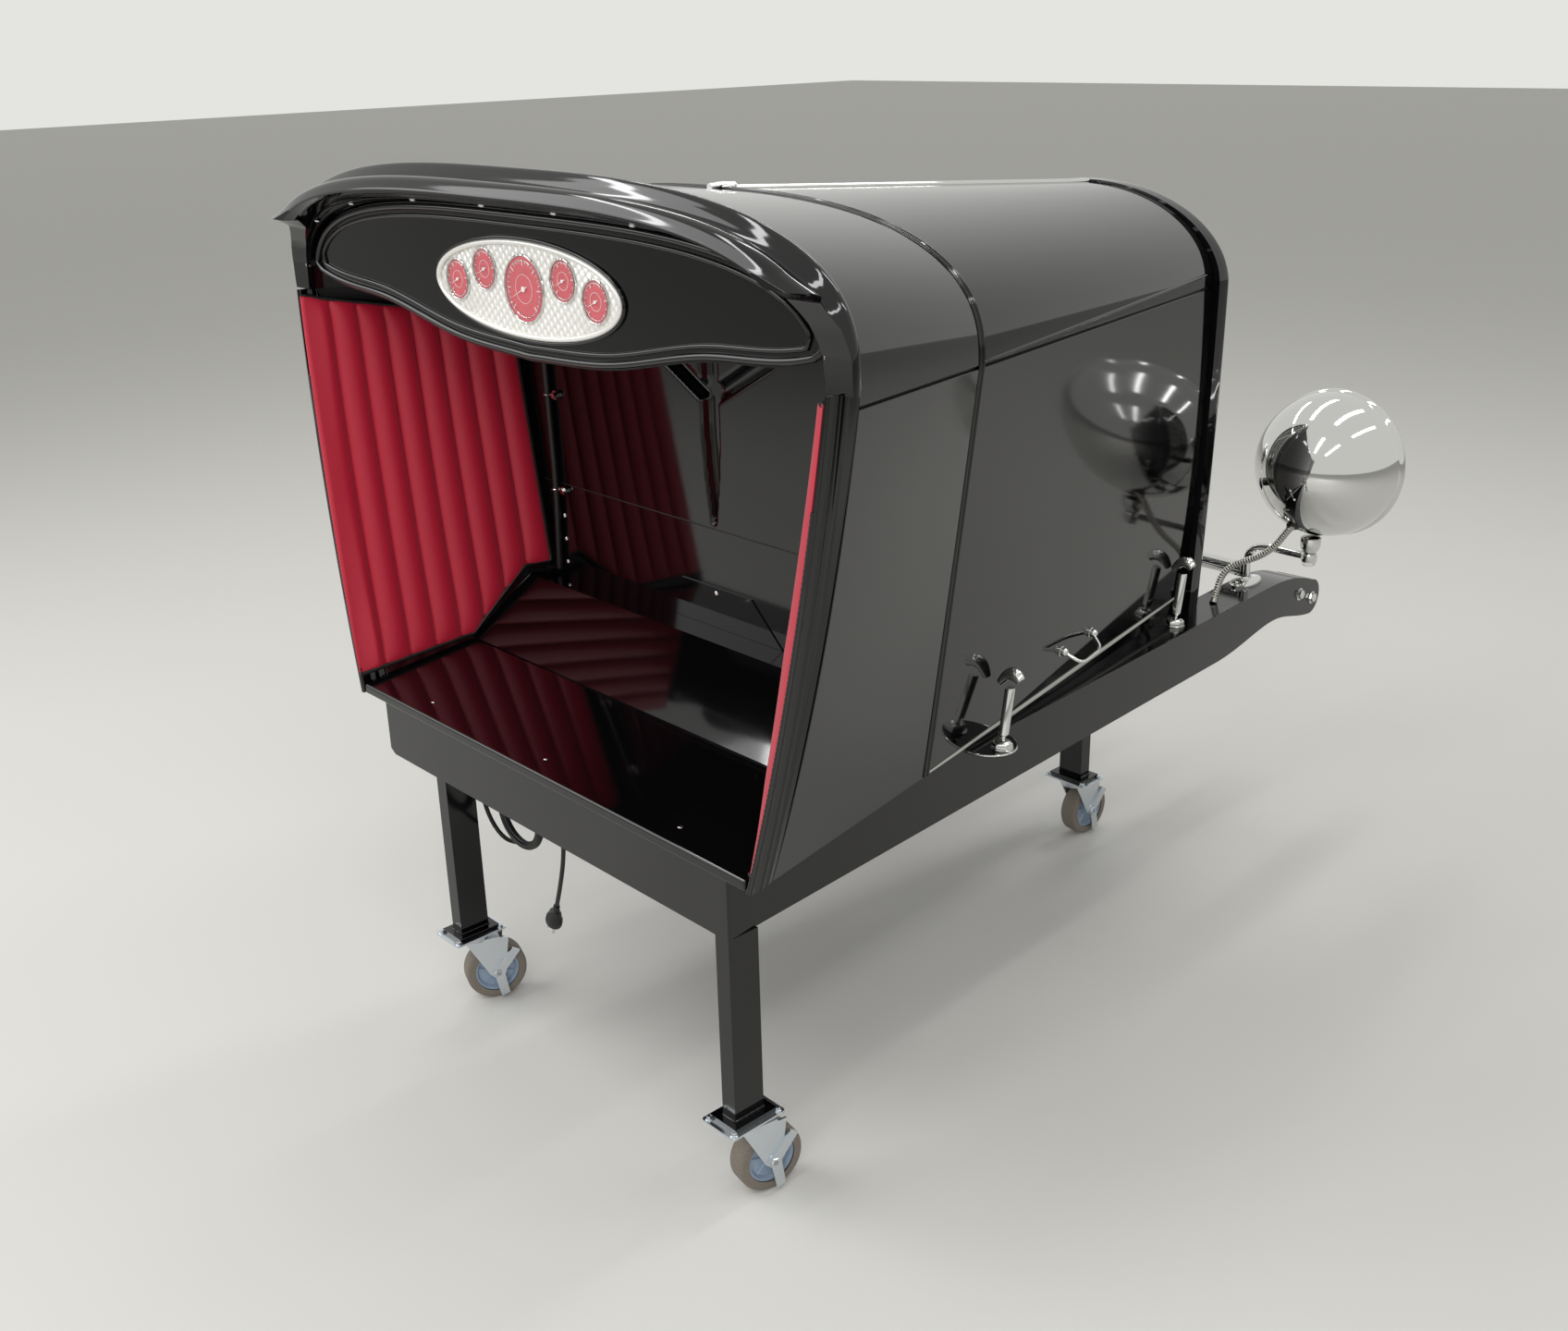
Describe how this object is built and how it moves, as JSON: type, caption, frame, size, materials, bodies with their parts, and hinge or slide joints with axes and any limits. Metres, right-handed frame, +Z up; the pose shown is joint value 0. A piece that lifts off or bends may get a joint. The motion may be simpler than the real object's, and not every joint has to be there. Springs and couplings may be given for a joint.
{
  "type": "rolling display stand made from a vintage car's front half",
  "caption": "Front half of an open vintage car body on its frame rails, with cowl, dash, hood, grille shell and headlamps, carried as an open-backed stand on legs with swivel casters.",
  "frame": {"origin": "on the floor under the middle of the overall box", "axes": "+X to the car's right, +Y forward to the grille, +Z up"},
  "size_m": [1.2152, 1.6615, 1.332],
  "materials": {
    "aluminium_dial": "engine-turned panel",
    "black_plastic": "black",
    "caster_rubber": "grey-tan non-marking rubber",
    "chrome": "polished",
    "flexible_conduit": "interlocked flexible conduit",
    "gauge_face": "red gauge faces under glass",
    "gloss_black": "deep gloss black paint",
    "hub_plastic": "blue-grey moulded hub",
    "lamp_glass": "clear, fluted",
    "red_vinyl": "rolled and pleated red vinyl",
    "zinc_plate": "bright zinc plate"
  },
  "bodies": {
    "body": {"caster_plate_front": "zinc_plate", "caster_plate_rear_left": "zinc_plate", "caster_plate_rear_right": "zinc_plate", "cord_coil": "black_plastic", "cord_gland": "black_plastic", "cord_hook": "zinc_plate", "cowl_lip": "gloss_black", "cowl_side_left": "gloss_black", "cowl_side_right": "gloss_black", "cowl_top": "gloss_black", "dash_panel": "gloss_black", "door_post_left": "gloss_black", "door_post_right": "gloss_black", "firewall": "gloss_black", "firewall_cover": "gloss_black", "floor_panel": "gloss_black", "frame_rail_left": "gloss_black", "frame_rail_right": "gloss_black", "front_crossmember": "gloss_black", "gauge_panel": "aluminium_dial", "gauges": "gauge_face", "grille": "chrome", "grille_shell": "gloss_black", "hood_hinge": "chrome", "hood_latches_left": "chrome", "hood_latches_right": "chrome", "hood_side_left": "gloss_black", "hood_side_right": "gloss_black", "hood_top_left": "gloss_black", "hood_top_right": "gloss_black", "lamp_bucket_left": "chrome", "lamp_bucket_right": "chrome", "lamp_conduit_left": "flexible_conduit", "lamp_conduit_right": "flexible_conduit", "lamp_crossbar": "chrome", "lamp_lens_left": "lamp_glass", "lamp_lens_right": "lamp_glass", "lamp_stand_left": "chrome", "lamp_stand_right": "chrome", "leg_front": "gloss_black", "leg_rear_left": "gloss_black", "leg_rear_right": "gloss_black", "power_cord": "black_plastic", "power_plug": "black_plastic", "rear_apron": "gloss_black", "rear_crossmember": "gloss_black", "toe_board": "gloss_black", "trim_panel_left": "red_vinyl", "trim_panel_right": "red_vinyl", "wiring_conduit": "black_plastic"},
    "swivel_rear_right": {"caster_fork_rear_right": "zinc_plate"},
    "wheel_rear_right": {"caster_hub_rear_right": "hub_plastic", "caster_tread_rear_right": "caster_rubber"},
    "swivel_rear_left": {"caster_fork_rear_left": "zinc_plate"},
    "wheel_rear_left": {"caster_hub_rear_left": "hub_plastic", "caster_tread_rear_left": "caster_rubber"},
    "swivel_front": {"caster_fork_front": "zinc_plate"},
    "wheel_front": {"caster_hub_front": "hub_plastic", "caster_tread_front": "caster_rubber"}
  },
  "joints": [
    {"name": "swivel_turn_rear_right", "type": "hinge", "parent": "body", "child": "swivel_rear_right", "pos_m": [0.4003, -0.7886, 0.11], "axis": [0, 0, 1], "continuous": true},
    {"name": "wheel_spin_rear_right", "type": "hinge", "parent": "swivel_rear_right", "child": "wheel_rear_right", "pos_m": [0.40603, -0.7561, 0.05], "axis": [0.9848, -0.1736, 0], "continuous": true},
    {"name": "swivel_turn_rear_left", "type": "hinge", "parent": "body", "child": "swivel_rear_left", "pos_m": [-0.274, -0.7836, 0.11], "axis": [0, 0, 1], "continuous": true},
    {"name": "wheel_spin_rear_left", "type": "hinge", "parent": "swivel_rear_left", "child": "wheel_rear_left", "pos_m": [-0.26271, -0.75259, 0.05], "axis": [0.9397, -0.342, 0], "continuous": true},
    {"name": "swivel_turn_front", "type": "hinge", "parent": "body", "child": "swivel_front", "pos_m": [0.062, 0.3637, 0.11], "axis": [0, 0, 1], "continuous": true},
    {"name": "wheel_spin_front", "type": "hinge", "parent": "swivel_front", "child": "wheel_front", "pos_m": [0.06315, 0.39668, 0.05], "axis": [0.9994, -0.0349, 0], "continuous": true}
  ]
}
